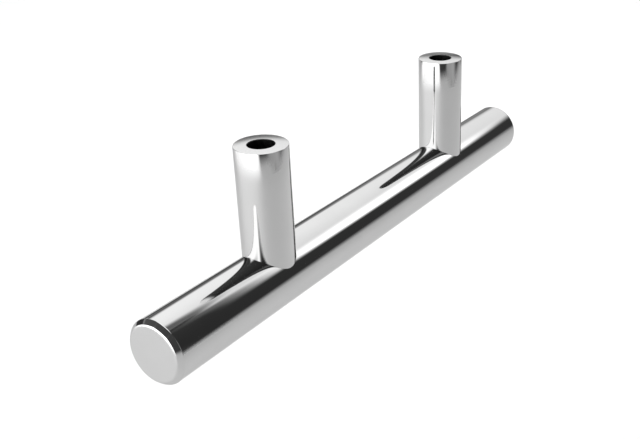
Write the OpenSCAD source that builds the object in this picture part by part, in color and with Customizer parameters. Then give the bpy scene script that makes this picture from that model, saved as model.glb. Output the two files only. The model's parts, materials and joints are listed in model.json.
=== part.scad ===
// Bar handle: a round bar held off the door by two round posts.
// The posts are screwed to the bar from inside, and take the door's screws in their free ends.
// Origin: on the mounting plane, midway between the two screw holes.
// The posts rise to the plane along Z, and the bar runs along X below it.

/* [Bar] */
// Diameter of the bar
bar_d = 12; // [10:0.5:16]
// Length of the bar over its end faces
bar_len = 124; // [100:2:400]
// Width of the 45 degree bevel at each end of the bar
bar_bevel = 0.8; // [0.5:0.1:2]
// Radius that softens both edges of the bevel
bevel_edge_r = 0.7; // [0.1:0.1:1]

/* [Posts] */
// Distance between the centres of the two posts
post_spacing = 64; // [48:2:320]
// Diameter of each post
post_d = 10; // [8:0.5:12]
// Height of the handle, from the mounting plane to the far side of the bar
projection = 32.5; // [28:0.5:45]
// Radius that softens the outer rim of each free end
rim_r = 0.2; // [0.1:0.1:1.2]

/* [Screw holes] */
// Diameter of the plain mouth that guides the screw in
mouth_d = 4.9; // [4.4:0.1:6]
// Depth of the plain mouth
mouth_depth = 2.5; // [1:0.25:4]
// Bevel round the edge of the mouth
mouth_bevel = 0.15; // [0.05:0.05:0.4]
// Core diameter of the screw thread below the mouth
thread_core_d = 3.3; // [2.5:0.1:4.2]
// Length of full thread below the mouth
thread_len = 9; // [6:0.5:10]

/* [Joining studs] */
// Core diameter of the thread that joins post and bar
stud_core_d = 3.2; // [2.5:0.1:4]
// Length of each headless stud
stud_len = 10; // [8:0.5:11]
// Length of the stud that sits in the bar
stud_in_bar = 5; // [3:0.5:6]
// Bevel at both ends of the stud
stud_bevel = 0.4; // [0.1:0.1:0.8]
// Width across the flats of the stud's key socket
socket_af = 2; // [1.5:0.5:2]
// Depth of the key socket
socket_depth = 2; // [1:0.5:3]

/* [Fits] */
// Gap between the saddle of a post and the bar
saddle_gap = 0.02; // [0.01:0.01:0.1]
// Gap between the core of a stud and its hole, all round
stud_gap = 0.04; // [0.02:0.01:0.1]
// Room beyond each end of a stud
stud_end_gap = 0.5; // [0.2:0.1:1]
// Bevel at the mouth of each stud hole
tap_bevel = 0.4; // [0.2:0.1:0.8]

/* [Hidden] */
$fn = 96;

bar_r = bar_d / 2;
bar_axis_z = bar_r - projection;
bar_top_z = bar_axis_z + bar_r;
post_r = post_d / 2;
stud_r = stud_core_d / 2;
stud_hole_r = stud_r + stud_gap;
stud_low_z = bar_top_z - stud_in_bar;
stud_high_z = stud_low_z + stud_len;

// A drill leaves a cone of 118 degrees at the bottom of a blind hole
drill_tip = 1 / tan(59);
// How far a cutting shape runs past the face it opens
cut_over = 1;
// Distance from a corner of 135 degrees to where a rounding of radius 1 starts
corner_reach = tan(22.5);

// Half outline of a round rod, right of its axis, from y = 0 up to its top face.
// The top edge has a bevel whose own two edges are rounded.
module bevelled_half_outline(r, h, bevel, edge_r) {
    reach = min(edge_r * corner_reach, bevel * 0.45);
    round_r = reach / corner_reach;
    slant = reach * cos(45);
    polygon([
        [0, 0],
        [r, 0],
        [r, h - bevel - reach],
        [r - slant, h - bevel + slant],
        [r - bevel + slant, h - slant],
        [r - bevel - reach, h],
        [0, h]
    ]);
    translate([r - round_r, h - bevel - reach]) circle(round_r);
    translate([r - bevel - reach, h - round_r]) circle(round_r);
}

// Blind hole along Z, open at z = 0 and going down, with the cone that the drill leaves
module blind_hole(r, depth) {
    translate([0, 0, -depth]) cylinder(r = r, h = depth + cut_over);
    translate([0, 0, -depth - r * drill_tip]) cylinder(r1 = 0, r2 = r, h = r * drill_tip);
}

// Cone that breaks the edge of a hole of radius r at z = 0, opening upwards
module edge_break(r, bevel) {
    translate([0, 0, -bevel]) cylinder(r1 = r, r2 = r + bevel + cut_over, h = bevel + cut_over);
}

// Puts its children at the left post (side = -1) or at the right post (side = 1)
module at_post(side) {
    translate([side * post_spacing / 2, 0, 0]) children();
}

// Hole that takes the door's screw: edge, plain mouth, thread core and drill cone
module screw_hole() {
    edge_break(mouth_d / 2, mouth_bevel);
    translate([0, 0, -mouth_depth]) cylinder(d = mouth_d, h = mouth_depth + cut_over);
    translate([0, 0, -mouth_depth]) blind_hole(thread_core_d / 2, thread_len);
}

// Hole in the bar for a stud, open at the top of the bar
module bar_stud_hole() {
    translate([0, 0, bar_top_z]) {
        blind_hole(stud_hole_r, stud_in_bar + stud_end_gap);
        edge_break(stud_hole_r, tap_bevel);
    }
}

// Hole in a post for a stud, open at the crown of the saddle
module post_stud_hole() {
    translate([0, 0, bar_top_z]) mirror([0, 0, 1]) {
        blind_hole(stud_hole_r, stud_len - stud_in_bar + stud_end_gap);
        edge_break(stud_hole_r, tap_bevel);
    }
}

// Solid round bar with bevelled ends and a blind hole under each post
module bar() {
    color("silver")
    difference() {
        translate([0, 0, bar_axis_z]) rotate([0, 90, 0]) for (end = [0, 1])
            mirror([0, 0, end])
            rotate_extrude() bevelled_half_outline(bar_r, bar_len / 2, bar_bevel, bevel_edge_r);
        for (side = [-1, 1]) at_post(side) bar_stud_hole();
    }
}

// Half outline of a post: straight side, softened rim at the mounting plane
module post_half_outline() {
    low_z = bar_axis_z;
    difference() {
        translate([0, low_z]) square([post_r, -low_z]);
        translate([post_r - rim_r, -rim_r]) square(rim_r + cut_over);
    }
    intersection() {
        translate([post_r - rim_r, -rim_r]) circle(rim_r);
        translate([0, low_z]) square([post_r, -low_z]);
    }
}

// Round post whose lower end is hollowed to a saddle that sits on the bar
module post(side) {
    color("gainsboro")
    at_post(side) difference() {
        rotate_extrude() post_half_outline();
        translate([-post_d, 0, bar_axis_z]) rotate([0, 90, 0])
            cylinder(r = bar_r + saddle_gap, h = 2 * post_d);
        screw_hole();
        post_stud_hole();
    }
}

// Headless stud with bevelled ends, and a key socket in the end that enters the post
module stud(side) {
    middle_z = (stud_low_z + stud_high_z) / 2;
    color("dimgray")
    at_post(side) difference() {
        translate([0, 0, middle_z]) for (end = [0, 1])
            mirror([0, 0, end])
            rotate_extrude() stud_half_outline();
        translate([0, 0, stud_high_z - socket_depth])
            cylinder(d = socket_af / cos(30), h = socket_depth + cut_over, $fn = 6);
    }
}

// Half outline of a stud, from its middle up to its bevelled end
module stud_half_outline() {
    polygon([
        [0, 0],
        [stud_r, 0],
        [stud_r, stud_len / 2 - stud_bevel],
        [stud_r - stud_bevel, stud_len / 2],
        [0, stud_len / 2]
    ]);
}

module post_left() { post(-1); }
module post_right() { post(1); }
module stud_left() { stud(-1); }
module stud_right() { stud(1); }

bar();
post_left();
post_right();
stud_left();
stud_right();
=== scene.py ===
import bmesh
import bpy
import json
import math
from mathutils import Matrix, Vector


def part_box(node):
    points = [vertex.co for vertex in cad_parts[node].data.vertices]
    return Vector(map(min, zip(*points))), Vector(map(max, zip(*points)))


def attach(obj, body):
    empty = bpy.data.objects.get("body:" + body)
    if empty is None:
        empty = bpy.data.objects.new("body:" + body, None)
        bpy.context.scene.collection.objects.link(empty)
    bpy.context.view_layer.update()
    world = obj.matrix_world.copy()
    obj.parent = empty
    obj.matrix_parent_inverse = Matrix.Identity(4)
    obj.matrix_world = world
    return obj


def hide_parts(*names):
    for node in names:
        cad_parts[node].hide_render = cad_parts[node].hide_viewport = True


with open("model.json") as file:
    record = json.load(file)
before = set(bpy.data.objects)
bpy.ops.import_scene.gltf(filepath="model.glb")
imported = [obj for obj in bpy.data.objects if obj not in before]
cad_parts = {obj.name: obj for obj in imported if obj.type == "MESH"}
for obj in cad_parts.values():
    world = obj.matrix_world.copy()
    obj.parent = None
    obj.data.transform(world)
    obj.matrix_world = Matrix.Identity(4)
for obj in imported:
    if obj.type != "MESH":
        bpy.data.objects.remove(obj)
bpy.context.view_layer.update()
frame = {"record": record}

MM = 0.001

# Sizes that the frame gives, to 0.01 mm, since the facets of its solids fall a little short of them
DIGITS = 5
BAR_LOW, BAR_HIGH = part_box("bar")
POST_LOW, POST_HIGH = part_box("post_right")
STUD_LOW, STUD_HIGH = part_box("stud_left")
MOUNT_SIZES = {mount["name"]: mount["dims"] for mount in frame["record"]["mounts"]}
BAR_R = round((BAR_HIGH.z - BAR_LOW.z) / 2, DIGITS)
BAR_HALF = round(BAR_HIGH.x, DIGITS)
BAR_AXIS_Z = round((BAR_HIGH.z + BAR_LOW.z) / 2, DIGITS)
BAR_TOP_Z = BAR_AXIS_Z + BAR_R
POST_R = round((POST_HIGH.x - POST_LOW.x) / 2, DIGITS)
POST_X = MOUNT_SIZES["screw_holes"]["spacing_x_mm"] / 2 * MM
MOUTH_R = MOUNT_SIZES["screw_holes"]["hole_r_mm"] * MM
CORE_R = MOUNT_SIZES["thread_left"]["r_mm"] * MM
THREAD_LEN = MOUNT_SIZES["thread_left"]["length_mm"] * MM
STUD_LOW_Z = round(STUD_LOW.z, DIGITS)
STUD_HIGH_Z = round(STUD_HIGH.z, DIGITS)
STUD_R = round((STUD_HIGH.x - STUD_LOW.x) / 2, DIGITS)

# Sizes as in the part's source
BAR_BEVEL = 0.8 * MM
BEVEL_ANGLE = math.radians(45)
BEVEL_EDGE_R = 0.7 * MM
RIM_R = 0.2 * MM
MOUTH_DEPTH = 2.5 * MM
MOUTH_BEVEL = 0.15 * MM
SADDLE_GAP = 0.02 * MM
STUD_GAP = 0.04 * MM
STUD_END_GAP = 0.5 * MM
STUD_BEVEL = 0.4 * MM
TAP_BEVEL = 0.4 * MM
SOCKET_FLATS = 2 * MM
SOCKET_DEPTH = 2 * MM
STUD_HOLE_R = STUD_R + STUD_GAP
# Height of a drilled cone of 118 degrees, for a radius of 1
DRILL_TIP = 1 / math.tan(math.radians(59))

# Thread: pitch, and how far it reaches out from its core
PITCH = 0.7 * MM
GROOVE = 0.34 * MM
# Profile of half a pitch: the share that is flat at the core, and the share that slopes
CORE_FLAT = 0.2
SLOPE = 0.65
RINGS_A_PITCH = 12

# Small forms that the part's source leaves out
MOUTH_EDGE_R = 0.12 * MM
MOUTH_SLOPE = 0.1 * MM
SOCKET_EDGE = 0.05 * MM
SOCKET_DIMPLE_R = 0.4 * MM
SOCKET_DIMPLE_DEPTH = 0.2 * MM
SCREW_HOLE_POINT_R = 0.02 * MM
# Gap between the end of a thread and the bevel beside it
THREAD_CLEAR = 0.05 * MM

# Gap between a crease and the next ring, which keeps its shading crisp
HOLD = 0.02 * MM
# How far off a surface a point may lie and still count as on it
TOUCH = 0.01 * MM
TOUCH_ANGLE = 0.01

# Rings round a corner, and in each stretch of the outlines
CORNER_STEPS = 10
MOUTH_EDGE_STEPS = 5
MOUTH_FLOOR_RINGS = 4
MOUTH_WALL_RINGS = 8
FACE_RINGS = 16
SIDE_RINGS = 40
SADDLE_RINGS = 10
SOCKET_RINGS = 4
BAR_END_RINGS = 12
BAR_SIDE_RINGS = 60
# Where the rings of a bevel and of a drilled cone lie, as shares of the way across
BEVEL_SHARES = (0.03, 0.25, 0.5, 0.75, 0.97)
CONE_SHARES = (0.02, 0.5, 0.97)

POST_SEGMENTS = 144
BAR_SEGMENTS = 288
CREASE_ANGLE = math.radians(32)

# Buffing leans the surface of a post by this much at its rim. The lean fades out down the side, and
# across the end face towards the hole.
RIM_TILT = math.radians(9.5)
SIDE_REACH = 7.3 * MM
FACE_FLAT_R = 1.5 * MM
# Share of the rounded rim over which its shine turns from the side to the end face
RIM_TURN = (0.35, 0.65)
# Share of the rounded outer edge of the bar's bevel over which its shine turns from the bevel to the side
BEVEL_TURN = (0.7, 0.95)

# Material slots of a post and of the bar
POST_OUTSIDE, POST_FACE, POST_HOLES = 0, 1, 2
BAR_OUTSIDE, BAR_HOLES = 0, 1

# What chrome reflects at a grazing angle, next to what a plain mirror of its colour would
EDGE_TINT = (0.74, 0.74, 0.74, 1)
# Where most values of a noise texture lie
NOISE_LOW, NOISE_HIGH = 0.3, 0.7
# How the hairlines are squeezed along each axis: they run along the axis with the small factor
HAIRLINES_ALONG_BAR = (0.04, 1, 1)
HAIRLINES_ALONG_POST = (1, 1, 0.04)

# Camera: angles in degrees, as seen from the handle, and distance from the point it looks at
CAMERA_AZIMUTH = -122.02
CAMERA_ELEVATION = 23.16
CAMERA_ROLL = math.radians(-0.75)
CAMERA_DISTANCE = 206.74 * MM
CAMERA_TARGET = Vector((13.91 * MM, 0, BAR_AXIS_Z + 2.62 * MM))
SENSOR_WIDTH = 36
# Size of the photograph, focal length, and where the lens axis meets the photograph, all in its pixels
PHOTO_WIDTH, PHOTO_HEIGHT = 640, 439
FOCAL_LENGTH = 920.36
LENS_AXIS_X, LENS_AXIS_Y = 400, 180

# Studio
FLOOR_DROP = 300 * MM
FLOOR_Z = BAR_AXIS_Z - FLOOR_DROP
FLOOR_HALF = 30
FLOOR_GREY = 0.9
WORLD_LEVEL = 0.74
# Width of a panel's facets in degrees, and the least share of its width that an edge fades over
PANEL_FACET = 4
LEAST_FADE = 0.001


def clamp(value):
    """value, kept between 0 and 1."""
    return max(0.0, min(1.0, value))


def smooth_step(value, low, high):
    """0 below low, 1 above high, and a soft step between."""
    share = clamp((value - low) / (high - low))
    return share * share * (3 - 2 * share)


def spread(start, end, count):
    """count numbers, evenly spaced after start, with end as the last."""
    return [start + (end - start) * (i + 1) / count for i in range(count)]


def full_turn(count):
    """count angles, evenly spaced round a circle."""
    return [2 * math.pi * i / count for i in range(count)]


def rounded_corner(corner, before, after, radius, steps):
    """Points on the arc that rounds a corner between the directions to its two neighbours."""
    corner = Vector(corner)
    to_before = (Vector(before) - corner).normalized()
    to_after = (Vector(after) - corner).normalized()
    half = to_before.angle(to_after) / 2
    centre = corner + (to_before + to_after).normalized() * (radius / math.sin(half))
    start = corner + to_before * (radius / math.tan(half)) - centre
    end = corner + to_after * (radius / math.tan(half)) - centre
    turn = start.angle(end)
    points = []
    for i in range(steps + 1):
        share = i / steps
        blend = start * math.sin((1 - share) * turn) + end * math.sin(share * turn)
        points.append(centre + blend / math.sin(turn))
    return [tuple(point) for point in points]


def ring_mesh(name, rings):
    """Mesh through rings of as many points each. It ends in the middle of its first and last ring."""
    mesh = bmesh.new()
    count = len(rings[0])
    loops = [[mesh.verts.new(point) for point in ring] for ring in rings]
    for low, high in zip(loops, loops[1:]):
        for i in range(count):
            j = (i + 1) % count
            mesh.faces.new((low[i], low[j], high[j], high[i]))
    for loop, flip in ((loops[0], True), (loops[-1], False)):
        middle = mesh.verts.new(sum((vert.co for vert in loop), Vector()) / count)
        for i in range(count):
            j = (i + 1) % count
            mesh.faces.new((middle, loop[j], loop[i]) if flip else (middle, loop[i], loop[j]))
    bmesh.ops.recalc_face_normals(mesh, faces=mesh.faces)
    data = bpy.data.meshes.new(name)
    mesh.to_mesh(data)
    mesh.free()
    return data


def add_object(name, data):
    """New object in the scene that holds this mesh, light or camera."""
    made = bpy.data.objects.new(name, data)
    bpy.context.scene.collection.objects.link(made)
    return made


def finish_mesh(data):
    """Smooth shading, with the creases left sharp."""
    data.shade_smooth()
    data.set_sharp_from_angle(angle=CREASE_ANGLE)


def round_ring(radius, z):
    """Ring round a post's axis. radius and z are numbers, or functions of the angle."""
    ring = []
    for angle in full_turn(POST_SEGMENTS):
        r = radius(angle) if callable(radius) else radius
        height = z(angle) if callable(z) else z
        ring.append((r * math.cos(angle), r * math.sin(angle), height))
    return ring


def groove_depth(angle, z):
    """How far the thread reaches out at this place, as a share of its full depth."""
    phase = (z / PITCH - angle / (2 * math.pi)) % 1
    return clamp((abs(phase - 0.5) * 2 - CORE_FLAT) / SLOPE)


def threaded_rings(radius, z_start, z_end, depth):
    """Rings of a threaded wall from z_start to z_end. The thread runs out at both ends."""
    count = max(2, round(abs(z_end - z_start) / PITCH * RINGS_A_PITCH))
    rings = []
    for z in [z_start] + spread(z_start, z_end, count):
        from_end = min(abs(z - z_start), abs(z - z_end))
        ramp = min(1.0, from_end / (PITCH / 2))
        rings.append(round_ring(lambda a: radius + depth * ramp * groove_depth(a, z), z))
    return rings


def stud_cone_rings(base_z, pointing):
    """Rings of a stud hole's drilled cone, from its point to its base. pointing is 1 up, or -1 down."""
    tip = STUD_HOLE_R * DRILL_TIP * pointing
    return [round_ring(STUD_HOLE_R * share, base_z + tip * (1 - share)) for share in CONE_SHARES]


def saddle_z(radius, angle):
    """Height of the saddle under a post, at this distance and angle from the post's axis."""
    across = radius * math.sin(angle)
    return BAR_AXIS_Z + math.sqrt((BAR_R + SADDLE_GAP) ** 2 - across**2)


def saddle_bevel_r(angle):
    """Radius at which the bevel of the stud hole meets the saddle, closed in on step by step."""
    steps = 12
    radius = STUD_HOLE_R + TAP_BEVEL
    for _ in range(steps):
        radius = STUD_HOLE_R + TAP_BEVEL + BAR_TOP_Z - saddle_z(radius, angle)
    return radius


def saddle_r(angle, share):
    """Distance from the post's axis this share of the way across the saddle, in from the post's side."""
    return POST_R + (saddle_bevel_r(angle) - POST_R) * share


def screw_hole_rings():
    """Rings from the bottom of the screw hole up to the edge of its mouth."""
    bottom = -MOUTH_DEPTH - THREAD_LEN
    tip = CORE_R * DRILL_TIP
    rings = [round_ring(SCREW_HOLE_POINT_R, bottom - tip)]
    rings += [round_ring(CORE_R * share, bottom - tip * (1 - share)) for share in CONE_SHARES[1:]]
    rings += threaded_rings(CORE_R, bottom, -MOUTH_DEPTH - MOUTH_SLOPE, GROOVE)
    rings += [round_ring(CORE_R + MOUTH_SLOPE, -MOUTH_DEPTH)]
    floor = spread(CORE_R + MOUTH_SLOPE, MOUTH_R, MOUTH_FLOOR_RINGS)
    rings += [round_ring(r, -MOUTH_DEPTH) for r in floor]
    wall = spread(-MOUTH_DEPTH, -MOUTH_BEVEL, MOUTH_WALL_RINGS)
    rings += [round_ring(MOUTH_R, z) for z in wall]
    top_edge = (MOUTH_R + MOUTH_BEVEL, 0)
    low_edge = (MOUTH_R, -MOUTH_BEVEL)
    edge = rounded_corner(top_edge, low_edge, (POST_R, 0), MOUTH_EDGE_R, MOUTH_EDGE_STEPS)
    return rings + [round_ring(r, z) for r, z in edge]


def end_face_rings():
    """Rings of the end face of a post, from the mouth out to the start of the rim."""
    start = MOUTH_R + MOUTH_BEVEL + 3 * HOLD
    return [round_ring(r, 0) for r in spread(start, POST_R - RIM_R - HOLD, FACE_RINGS)]


def rim_rings():
    """Rings round the softened rim and down the side of a post to just above the saddle."""
    corner = rounded_corner((POST_R, 0), (0, 0), (POST_R, -2 * RIM_R), RIM_R, CORNER_STEPS)
    rings = [round_ring(r, z) for r, z in corner]
    start = corner[-1][1]
    for share in spread(0, 1, SIDE_RINGS):
        rings.append(round_ring(POST_R, lambda a: start + (saddle_z(POST_R, a) - start) * share))
    return rings


def saddle_rings():
    """Rings across the saddle, in from the post's side to the bevel of the stud hole."""
    rings = []
    for share in spread(0, 1, SADDLE_RINGS):
        ring = round_ring(lambda a: saddle_r(a, share), lambda a: saddle_z(saddle_r(a, share), a))
        rings.append(ring)
    return rings


def stud_hole_rings():
    """Rings of the stud hole in a post, from its bevel up to the cone that the drill leaves."""
    low = BAR_TOP_Z + TAP_BEVEL
    high = STUD_HIGH_Z + STUD_END_GAP
    rings = [round_ring(STUD_HOLE_R, low)]
    rings += threaded_rings(STUD_HOLE_R, low + THREAD_CLEAR, high, GROOVE)
    return rings + stud_cone_rings(high, 1)[::-1]


def post_mesh(name):
    """A post as one closed skin.

    It runs from the bottom of the screw hole over the outside to the top of the stud hole.
    """
    rings = screw_hole_rings() + end_face_rings() + rim_rings() + saddle_rings() + stud_hole_rings()
    return ring_mesh(name, rings)


def hexagon_r(angle):
    """Distance from the axis to the wall of the key socket at this angle."""
    sixth = math.pi / 3
    return SOCKET_FLATS / 2 / math.cos((angle % sixth) - sixth / 2)


def stud_mesh(name):
    """A headless stud with a thread, bevelled ends and a key socket."""
    floor_z = STUD_HIGH_Z - SOCKET_DEPTH
    end_r = STUD_R - STUD_BEVEL
    rings = [round_ring(r, STUD_LOW_Z) for r in (end_r / 4, end_r)]
    rings += threaded_rings(
        STUD_R, STUD_LOW_Z + STUD_BEVEL, STUD_HIGH_Z - STUD_BEVEL, GROOVE - STUD_GAP
    )
    rings += [round_ring(end_r, STUD_HIGH_Z)]
    rings += [round_ring(lambda a: hexagon_r(a) + SOCKET_EDGE, STUD_HIGH_Z)]
    rings += [round_ring(hexagon_r, z) for z in spread(STUD_HIGH_Z, floor_z, SOCKET_RINGS)]
    rings += [round_ring(SOCKET_DIMPLE_R, floor_z - SOCKET_DIMPLE_DEPTH)]
    return ring_mesh(name, rings)


def bar_outline():
    """Places along the bar and radii, from the middle of its left end face to halfway along it."""
    face_edge = (-BAR_HALF, BAR_R - BAR_BEVEL)
    side_edge = (-BAR_HALF + BAR_BEVEL, BAR_R)
    inner = rounded_corner(face_edge, (-BAR_HALF, 0), side_edge, BEVEL_EDGE_R, CORNER_STEPS)
    outer = rounded_corner(side_edge, face_edge, (0, BAR_R), BEVEL_EDGE_R, CORNER_STEPS)
    middle_r = 0.05 * MM
    face = [middle_r] + spread(middle_r, inner[0][1] - HOLD, BAR_END_RINGS)
    bevel_start, bevel_end = Vector(inner[-1]), Vector(outer[0])
    bevel = [tuple(bevel_start.lerp(bevel_end, share)) for share in BEVEL_SHARES]
    side_start = outer[-1][0] + HOLD
    side = [side_start] + spread(side_start, 0, BAR_SIDE_RINGS)
    return [(-BAR_HALF, r) for r in face] + inner + bevel + outer + [(x, BAR_R) for x in side]


def bar_mesh(name):
    """The bar as a turned skin, before its two stud holes are cut."""
    left = bar_outline()
    outline = left + [(-x, r) for x, r in reversed(left[:-1])]
    turn = full_turn(BAR_SEGMENTS)
    rings = [[(x, r * math.cos(a), BAR_AXIS_Z + r * math.sin(a)) for a in turn] for x, r in outline]
    return ring_mesh(name, rings)


def bar_hole_mesh(name):
    """What is cut out of the bar for a stud: a threaded hole with a bevelled mouth and a drilled cone."""
    above = 0.6 * MM
    low = STUD_LOW_Z - STUD_END_GAP
    high = BAR_TOP_Z - TAP_BEVEL
    rings = stud_cone_rings(low, -1)
    rings += threaded_rings(STUD_HOLE_R, low, high - THREAD_CLEAR, GROOVE)
    rings += [round_ring(STUD_HOLE_R, high)]
    rings += [round_ring(STUD_HOLE_R + TAP_BEVEL + above, BAR_TOP_Z + above)]
    return ring_mesh(name, rings)


def cut_bar_holes(bar):
    """Cuts both stud holes into the bar's mesh."""
    cutters = []
    for side in (-1, 1):
        cutter = add_object("bar_hole_cutter", bar_hole_mesh("bar_hole_cutter"))
        cutter.data.transform(Matrix.Translation((side * POST_X, 0, 0)))
        cutters.append(cutter)
        cut = bar.modifiers.new("stud_hole", "BOOLEAN")
        cut.operation = "DIFFERENCE"
        cut.solver = "EXACT"
        cut.object = cutter
    ready = bar.evaluated_get(bpy.context.evaluated_depsgraph_get())
    done = bpy.data.meshes.new_from_object(ready)
    bar.modifiers.clear()
    bar.data = done
    for cutter in cutters:
        bpy.data.objects.remove(cutter)


def node_in(tree, kind, **inputs):
    """New node of this kind, with its input sockets set by name, an underscore standing for a space."""
    node = tree.nodes.new(kind)
    for name, value in inputs.items():
        socket = node.inputs[name.replace("_", " ")]
        if isinstance(value, bpy.types.NodeSocket):
            tree.links.new(value, socket)
        else:
            socket.default_value = value
    return node


def new_material(name):
    """Material with a plain Principled shader. Returns it, its tree and the shader."""
    material = bpy.data.materials.new(name)
    material.use_nodes = True
    return material, material.node_tree, material.node_tree.nodes["Principled BSDF"]


def object_place(tree):
    """The place on the object, in metres, for a texture."""
    return tree.nodes.new("ShaderNodeTexCoord").outputs["Object"]


def stretched(tree, place, factors):
    """place, times a factor along each axis. A small factor draws a texture out along its axis."""
    return node_in(tree, "ShaderNodeMapping", Vector=place, Scale=factors).outputs["Vector"]


def noise(tree, place, scale, detail):
    """Noise value whose features are about 1 / scale metres wide."""
    return node_in(tree, "ShaderNodeTexNoise", Vector=place, Scale=scale, Detail=detail).outputs["Fac"]


def ranged(tree, value, low, high):
    """A noise value, spread over the numbers from low to high."""
    node = node_in(
        tree, "ShaderNodeMapRange", Value=value, From_Min=NOISE_LOW, From_Max=NOISE_HIGH, To_Min=low,
        To_Max=high
    )
    return node.outputs["Result"]


def grey_range(tree, value, dark, light):
    """A noise value, spread over the greys from dark to light."""
    ramp = node_in(tree, "ShaderNodeValToRGB", Fac=value)
    for stop, position, grey in zip(ramp.color_ramp.elements, (NOISE_LOW, NOISE_HIGH), (dark, light)):
        stop.position = position
        stop.color = (grey, grey, grey, 1)
    return ramp.outputs["Color"]


def make_metal(tree, shader, mottle, greys, roughness):
    """Makes the shader a metal whose colour and roughness follow a noise value."""
    shader.inputs["Metallic"].default_value = 1
    tree.links.new(grey_range(tree, mottle, *greys), shader.inputs["Base Color"])
    tree.links.new(ranged(tree, mottle, *roughness), shader.inputs["Roughness"])


def add_bump(tree, shader, height, strength, distance):
    """Gives the shader a fine relief."""
    bump = node_in(tree, "ShaderNodeBump", Strength=strength, Distance=distance, Height=height)
    tree.links.new(bump.outputs["Normal"], shader.inputs["Normal"])


def chrome_material(name, along):
    """Buffed chrome: a clean mirror with faint haze and hairlines that run with the buffing."""
    material, tree, shader = new_material(name)
    place = object_place(tree)
    haze = noise(tree, place, scale=180, detail=4)
    hairline = noise(tree, stretched(tree, place, along), scale=2600, detail=2)
    make_metal(tree, shader, haze, greys=(0.545, 0.56), roughness=(0.035, 0.06))
    shader.inputs["Specular Tint"].default_value = EDGE_TINT
    add_bump(tree, shader, hairline, strength=0.02, distance=0.02 * MM)
    return material


def end_face_material(name):
    """Faced and lightly buffed chrome: a soft sheen with a fine grain."""
    material, tree, shader = new_material(name)
    grain = noise(tree, object_place(tree), scale=3200, detail=3)
    make_metal(tree, shader, grain, greys=(0.53, 0.57), roughness=(0.08, 0.15))
    shader.inputs["Specular Tint"].default_value = EDGE_TINT
    add_bump(tree, shader, grain, strength=0.05, distance=0.03 * MM)
    return material


def bore_painted_shade_material(name):
    """Tapped steel inside the holes. Its near-black colour is painted shade of the deep hollows; the
    noise adds faint stains.
    """
    material, tree, shader = new_material(name)
    stain = noise(tree, object_place(tree), scale=900, detail=5)
    # Greys near black are painted shade: bare steel would be far lighter
    make_metal(tree, shader, stain, greys=(0.012, 0.028), roughness=(0.42, 0.6))
    add_bump(tree, shader, stain, strength=0.2, distance=0.03 * MM)
    return material


def stud_material(name):
    """Blackened steel of the studs, rubbed bright in places."""
    material, tree, shader = new_material(name)
    wear = noise(tree, object_place(tree), scale=1400, detail=5)
    make_metal(tree, shader, wear, greys=(0.12, 0.3), roughness=(0.28, 0.5))
    add_bump(tree, shader, wear, strength=0.15, distance=0.03 * MM)
    return material


def from_post_axis(place):
    """Distance of a point from the axis of a post that stands at the origin."""
    return math.hypot(place.x, place.y)


def from_bar_axis(place):
    """Distance of a point from the bar's axis."""
    return math.hypot(place.y, place.z - BAR_AXIS_Z)


def paint_post(data):
    """Gives the faces of a post their materials. The chrome bevel at the mouth of the screw hole gets the
    near-black bore material too, as painted shade.
    """
    face_depth = 0.3 * MM
    face_r = POST_R - RIM_R - 0.05 * MM
    # Painted shade: inside this radius, the hole and the chrome bevel of its mouth get the near-black
    # bore material
    painted_shade_r = MOUTH_R + MOUTH_BEVEL - HOLD
    for face in data.polygons:
        radius = from_post_axis(face.center)
        if radius < painted_shade_r and face.center.z > BAR_TOP_Z:
            face.material_index = POST_HOLES
        elif radius < face_r and face.center.z > -face_depth:
            face.material_index = POST_FACE
        else:
            face.material_index = POST_OUTSIDE


def paint_bar(data):
    """Gives the faces of the bar their materials."""
    for face in data.polygons:
        away_from_ends = abs(face.center.x) < BAR_HALF - BAR_R
        inside = away_from_ends and from_bar_axis(face.center) < BAR_R - HOLD
        face.material_index = BAR_HOLES if inside else BAR_OUTSIDE


def buffed_tilt(radius, z):
    """Tilt above the horizon of a post's surface here, or None where the buffing doesn't reach."""
    upright = math.pi / 2
    if z > -MOUTH_BEVEL - TOUCH and radius <= POST_R - RIM_R:
        return upright - RIM_TILT * (radius - FACE_FLAT_R) / (POST_R - FACE_FLAT_R)
    if z > -RIM_R:
        round_rim = math.atan2(z + RIM_R, radius - POST_R + RIM_R) / upright
        return RIM_TILT + (upright - 2 * RIM_TILT) * smooth_step(round_rim, *RIM_TURN)
    if z > -SIDE_REACH:
        return RIM_TILT * (1 + z / SIDE_REACH)
    return None


def buff(data):
    """Sets how the outside of a post shines near its rim."""
    shine = [tuple(corner.vector) for corner in data.corner_normals]
    for face in data.polygons:
        if face.material_index == POST_HOLES:
            continue
        for corner in face.loop_indices:
            place = data.vertices[data.loops[corner].vertex_index].co
            radius = from_post_axis(place)
            tilt = buffed_tilt(radius, place.z)
            if tilt is not None:
                flat = math.cos(tilt) / radius
                shine[corner] = (place.x * flat, place.y * flat, math.sin(tilt))
    data.normals_split_custom_set(shine)


def buff_bar_ends(data):
    """Sets how the outer edge of the bar's bevels shines: like the bevel, until close to the side."""
    reach = BEVEL_EDGE_R * math.tan(BEVEL_ANGLE / 2)
    centre_x = BAR_HALF - BAR_BEVEL - reach
    centre_r = BAR_R - BEVEL_EDGE_R
    shine = [tuple(corner.vector) for corner in data.corner_normals]
    for loop in data.loops:
        place = data.vertices[loop.vertex_index].co
        radius = from_bar_axis(place)
        edge_turn = math.atan2(radius - centre_r, abs(place.x) - centre_x)
        if abs(place.x) > centre_x - TOUCH and edge_turn > BEVEL_ANGLE - TOUCH_ANGLE:
            turn = BEVEL_ANGLE * (1 + smooth_step(edge_turn / BEVEL_ANGLE - 1, *BEVEL_TURN))
            out = math.sin(turn) / radius
            along = math.copysign(math.cos(turn), place.x)
            shine[loop.index] = (along, place.y * out, (place.z - BAR_AXIS_Z) * out)
    data.normals_split_custom_set(shine)


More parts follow.
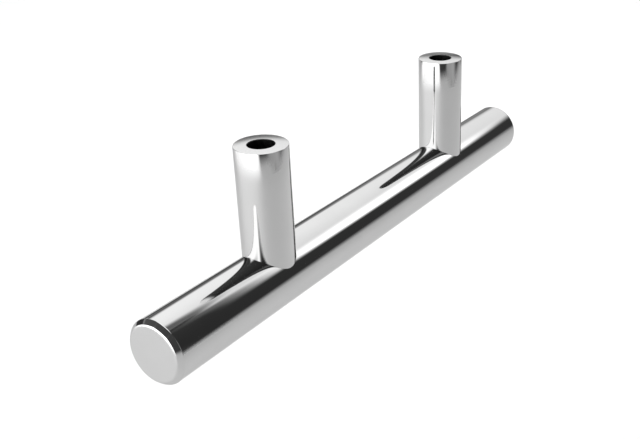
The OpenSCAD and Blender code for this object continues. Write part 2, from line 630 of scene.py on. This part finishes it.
def make_post(name, node, side, materials):
    """One post as a finished piece in place of its node."""
    data = post_mesh(name)
    for material in materials:
        data.materials.append(material)
    paint_post(data)
    finish_mesh(data)
    buff(data)
    data.transform(Matrix.Translation((side * POST_X, 0, 0)))
    post = add_object(name, data)
    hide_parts(node)
    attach(post, "root")


def make_stud(name, node, side, material):
    """One stud as a finished piece in place of its node."""
    data = stud_mesh(name)
    data.materials.append(material)
    data.transform(Matrix.Translation((side * POST_X, 0, 0)))
    finish_mesh(data)
    stud = add_object(name, data)
    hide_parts(node)
    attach(stud, "root")


def make_bar(name, node, materials):
    """The bar as a finished piece in place of its node."""
    bar = add_object(name, bar_mesh(name))
    cut_bar_holes(bar)
    bar.data.materials.clear()
    for material in materials:
        bar.data.materials.append(material)
    paint_bar(bar.data)
    finish_mesh(bar.data)
    buff_bar_ends(bar.data)
    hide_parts(node)
    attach(bar, "root")


def direction(azimuth, elevation):
    """Unit vector, from degrees: azimuth from +Y towards +X, and elevation above the horizon."""
    a, e = math.radians(azimuth), math.radians(elevation)
    return Vector((math.sin(a) * math.cos(e), math.cos(a) * math.cos(e), math.sin(e)))


def times(tree, value, other):
    """Product of two sockets."""
    node = tree.nodes.new("ShaderNodeMath")
    node.operation = "MULTIPLY"
    tree.links.new(value, node.inputs[0])
    tree.links.new(other, node.inputs[1])
    return node.outputs["Value"]


def panel_material(name, radiance, soft_u, soft_v):
    """Glow of a studio panel, from one radiance at its left to another at its right, with faded edges."""
    material = bpy.data.materials.new(name)
    material.use_nodes = True
    tree = material.node_tree
    tree.nodes.clear()
    place = tree.nodes.new("ShaderNodeTexCoord").outputs["UV"]
    axes = node_in(tree, "ShaderNodeSeparateXYZ", Vector=place)
    fades = []
    for axis, soft in (("X", soft_u), ("Y", soft_v)):
        for start, end in ((0, soft[0]), (1, 1 - soft[1])):
            fade = node_in(
                tree, "ShaderNodeMapRange", Value=axes.outputs[axis], From_Min=start, From_Max=end
            )
            fade.interpolation_type = "SMOOTHSTEP"
            fades.append(fade.outputs["Result"])
    cover = fades[0]
    for fade in fades[1:]:
        cover = times(tree, cover, fade)
    across = node_in(
        tree, "ShaderNodeMapRange", Value=axes.outputs["X"], To_Min=radiance[0], To_Max=radiance[1]
    )
    glow = node_in(tree, "ShaderNodeEmission", Color=(1, 1, 1, 1), Strength=across.outputs["Result"])
    clear = tree.nodes.new("ShaderNodeBsdfTransparent")
    mix = node_in(tree, "ShaderNodeMixShader", Fac=cover)
    tree.links.new(clear.outputs["BSDF"], mix.inputs[1])
    tree.links.new(glow.outputs["Emission"], mix.inputs[2])
    output = tree.nodes.new("ShaderNodeOutputMaterial")
    tree.links.new(mix.outputs["Shader"], output.inputs["Surface"])
    return material


def make_panel(name, corners, distance, radiance, soft):
    """Curved studio panel that faces the handle and that only the chrome shows.

    corners are its bottom left, bottom right, top left and top right as seen from the handle, each an
    azimuth and an elevation. radiance is that of its left and right side. soft is the width of its faded
    edges, in degrees: left, right, bottom, top.
    """
    bottom_left, bottom_right, top_left, top_right = (Vector(corner) for corner in corners)
    width = (bottom_right.x - bottom_left.x + top_right.x - top_left.x) / 2
    height = (top_left.y - bottom_left.y + top_right.y - bottom_right.y) / 2
    columns = max(2, round(width / PANEL_FACET))
    rows = max(2, round(height / PANEL_FACET))
    centre = Vector((0, 0, BAR_AXIS_Z))
    points, shares, faces = [], [], []
    for i in range(columns + 1):
        for j in range(rows + 1):
            u, v = i / columns, j / rows
            place = bottom_left.lerp(bottom_right, u).lerp(top_left.lerp(top_right, u), v)
            points.append(centre + direction(place.x, place.y) * distance)
            shares.append((u, v))
    for i in range(columns):
        for j in range(rows):
            first = i * (rows + 1) + j
            faces.append((first, first + 1, first + rows + 2, first + rows + 1))
    data = bpy.data.meshes.new(name)
    data.from_pydata(points, [], faces)
    layer = data.uv_layers.new(name="UVMap")
    for loop in data.loops:
        layer.data[loop.index].uv = shares[loop.vertex_index]
    data.shade_smooth()
    soft_u = [max(edge / width, LEAST_FADE) for edge in soft[:2]]
    soft_v = [max(edge / height, LEAST_FADE) for edge in soft[2:]]
    data.materials.append(panel_material(name, radiance, soft_u, soft_v))
    panel = add_object(name, data)
    panel.visible_camera = False
    panel.visible_diffuse = False
    panel.visible_shadow = False


def make_floor():
    """Plain pale floor below the handle."""
    data = bpy.data.meshes.new("floor")
    corners = [(-1, -1), (1, -1), (1, 1), (-1, 1)]
    data.from_pydata([(x * FLOOR_HALF, y * FLOOR_HALF, FLOOR_Z) for x, y in corners], [], [(0, 1, 2, 3)])
    material, _, shader = new_material("floor_paint")
    shader.inputs["Base Color"].default_value = (FLOOR_GREY, FLOOR_GREY, FLOOR_GREY, 1)
    shader.inputs["Roughness"].default_value = 0.9
    shader.inputs["Specular IOR Level"].default_value = 0
    data.materials.append(material)
    add_object("floor", data)


def make_world():
    """Even pale surroundings."""
    world = bpy.data.worlds.new("studio")
    world.use_nodes = True
    background = world.node_tree.nodes["Background"]
    background.inputs["Color"].default_value = (1, 1, 1, 1)
    background.inputs["Strength"].default_value = WORLD_LEVEL
    bpy.context.scene.world = world


def make_lamp(name, azimuth, out, height, size, power):
    """Soft round lamp that lights the floor from above. out is how far it hangs from the handle."""
    lamp = bpy.data.lights.new(name, "AREA")
    lamp.shape = "DISK"
    lamp.size = size
    lamp.energy = power
    made = add_object(name, lamp)
    made.location = direction(azimuth, 0) * out + Vector((0, 0, FLOOR_Z + height))
    made.visible_camera = False
    made.visible_glossy = False


def make_lamps():
    """Three lamps that even out the floor, as far as the camera sees it."""
    make_lamp("lamp_back", azimuth=55, out=0.83, height=0.87, size=1.38, power=6.25)
    make_lamp("lamp_front", azimuth=-67, out=1.78, height=0.34, size=2.7, power=12.7)
    make_lamp("lamp_far", azimuth=53, out=2.4, height=0.33, size=2.25, power=3.9)


def make_softboxes():
    """Bright panels that the chrome mirrors. Where two overlap, it shows the nearer."""
    # Big softbox beside the camera
    corners = ((-132, -17), (17, -19), (-105, 32), (-56, 40))
    make_panel("softbox_front", corners, distance=0.9, radiance=(3.5, 3.5), soft=(11, 16, 25, 9))
    # Bright softbox on the right, and the wide paler one behind it
    corners = ((117.5, 15), (140, 27), (94, 34), (122, 58))
    make_panel("softbox_side", corners, distance=1.3, radiance=(3.5, 3.5), soft=(8, 15, 10, 19))
    corners = ((10, -6), (136, 27), (12, 80), (120, 51))
    make_panel("softbox_back", corners, distance=1.36, radiance=(1.7, 1.17), soft=(20, 8, 13, 8))
    # Softbox overhead
    corners = ((-180, 58), (180, 58), (-180, 89), (180, 89))
    make_panel("softbox_top", corners, distance=1.33, radiance=(2.2, 2.2), soft=(0, 0, 7, 0))


def make_walls():
    """Dark and grey panels that the chrome mirrors.

    All but wall_far and the gap stand behind the softboxes.
    """
    # Wall behind the handle, nearer than the rest, and light towards its right
    corners = ((31, -3), (113, -18), (26, 31), (75, 4))
    make_panel("wall_far", corners, distance=0.95, radiance=(0.02, 1.05), soft=(2, 5, 15, 16))
    # Pale gap between two dark walls
    corners = ((-224, -45), (-142, -4), (-199, 79), (-160, 33))
    make_panel("gap", corners, distance=1.31, radiance=(0.65, 0.43), soft=(23, 12, 19, 25))
    # Dark walls all round
    corners = ((-177, -8), (-20, -13), (-172, 80), (-4, 80))
    make_panel("wall_camera", corners, distance=1.38, radiance=(0.04, 0.13), soft=(2, 11, 10, 3))
    corners = ((-24, -5), (115, -9), (-11, 80), (115, 80))
    make_panel("wall_back", corners, distance=1.4, radiance=(0.04, 0.2), soft=(2, 4, 2, 3))
    corners = ((109, -8), (181, -19), (109, 80), (190, 80))
    make_panel("wall_right", corners, distance=1.44, radiance=(0.06, 0.02), soft=(4, 2, 13, 3))


def make_studio():
    """Everything round the handle."""
    make_floor()
    make_world()
    make_lamps()
    make_softboxes()
    make_walls()


def make_camera():
    """Camera at the photograph's angle and framing."""
    back = direction(CAMERA_AZIMUTH, CAMERA_ELEVATION)
    level_right = Vector((0, 0, 1)).cross(back).normalized()
    level_up = back.cross(level_right)
    right = level_right * math.cos(CAMERA_ROLL) + level_up * math.sin(CAMERA_ROLL)
    up = level_up * math.cos(CAMERA_ROLL) - level_right * math.sin(CAMERA_ROLL)
    data = bpy.data.cameras.new("camera")
    data.sensor_width = SENSOR_WIDTH
    data.lens = FOCAL_LENGTH * SENSOR_WIDTH / PHOTO_WIDTH
    data.shift_x = (PHOTO_WIDTH / 2 - LENS_AXIS_X) / PHOTO_WIDTH
    data.shift_y = (LENS_AXIS_Y - PHOTO_HEIGHT / 2) / PHOTO_WIDTH
    data.clip_start = 0.01
    data.clip_end = 2 * FLOOR_HALF
    camera = add_object("camera", data)
    place = CAMERA_TARGET + back * CAMERA_DISTANCE
    camera.matrix_world = Matrix.Translation(place) @ Matrix((right, up, back)).transposed().to_4x4()
    bpy.context.scene.camera = camera


def make_handle():
    """Every piece of the handle."""
    # Near-black bore material: painted shade in the holes
    bore_painted_shade = bore_painted_shade_material("tapped_steel_painted_shade")
    post_chrome = chrome_material("post_chrome", HAIRLINES_ALONG_POST)
    bar_chrome = chrome_material("bar_chrome", HAIRLINES_ALONG_BAR)
    face = end_face_material("faced_chrome")
    steel = stud_material("stud_steel")
    make_bar("bar_visual", "bar", [bar_chrome, bore_painted_shade])
    for side, word in ((-1, "left"), (1, "right")):
        make_post(f"post_{word}_visual", f"post_{word}", side, [post_chrome, face, bore_painted_shade])
        make_stud(f"stud_{word}_visual", f"stud_{word}", side, steel)


make_handle()
make_studio()
make_camera()

bpy.context.scene.view_settings.view_transform = "Standard"
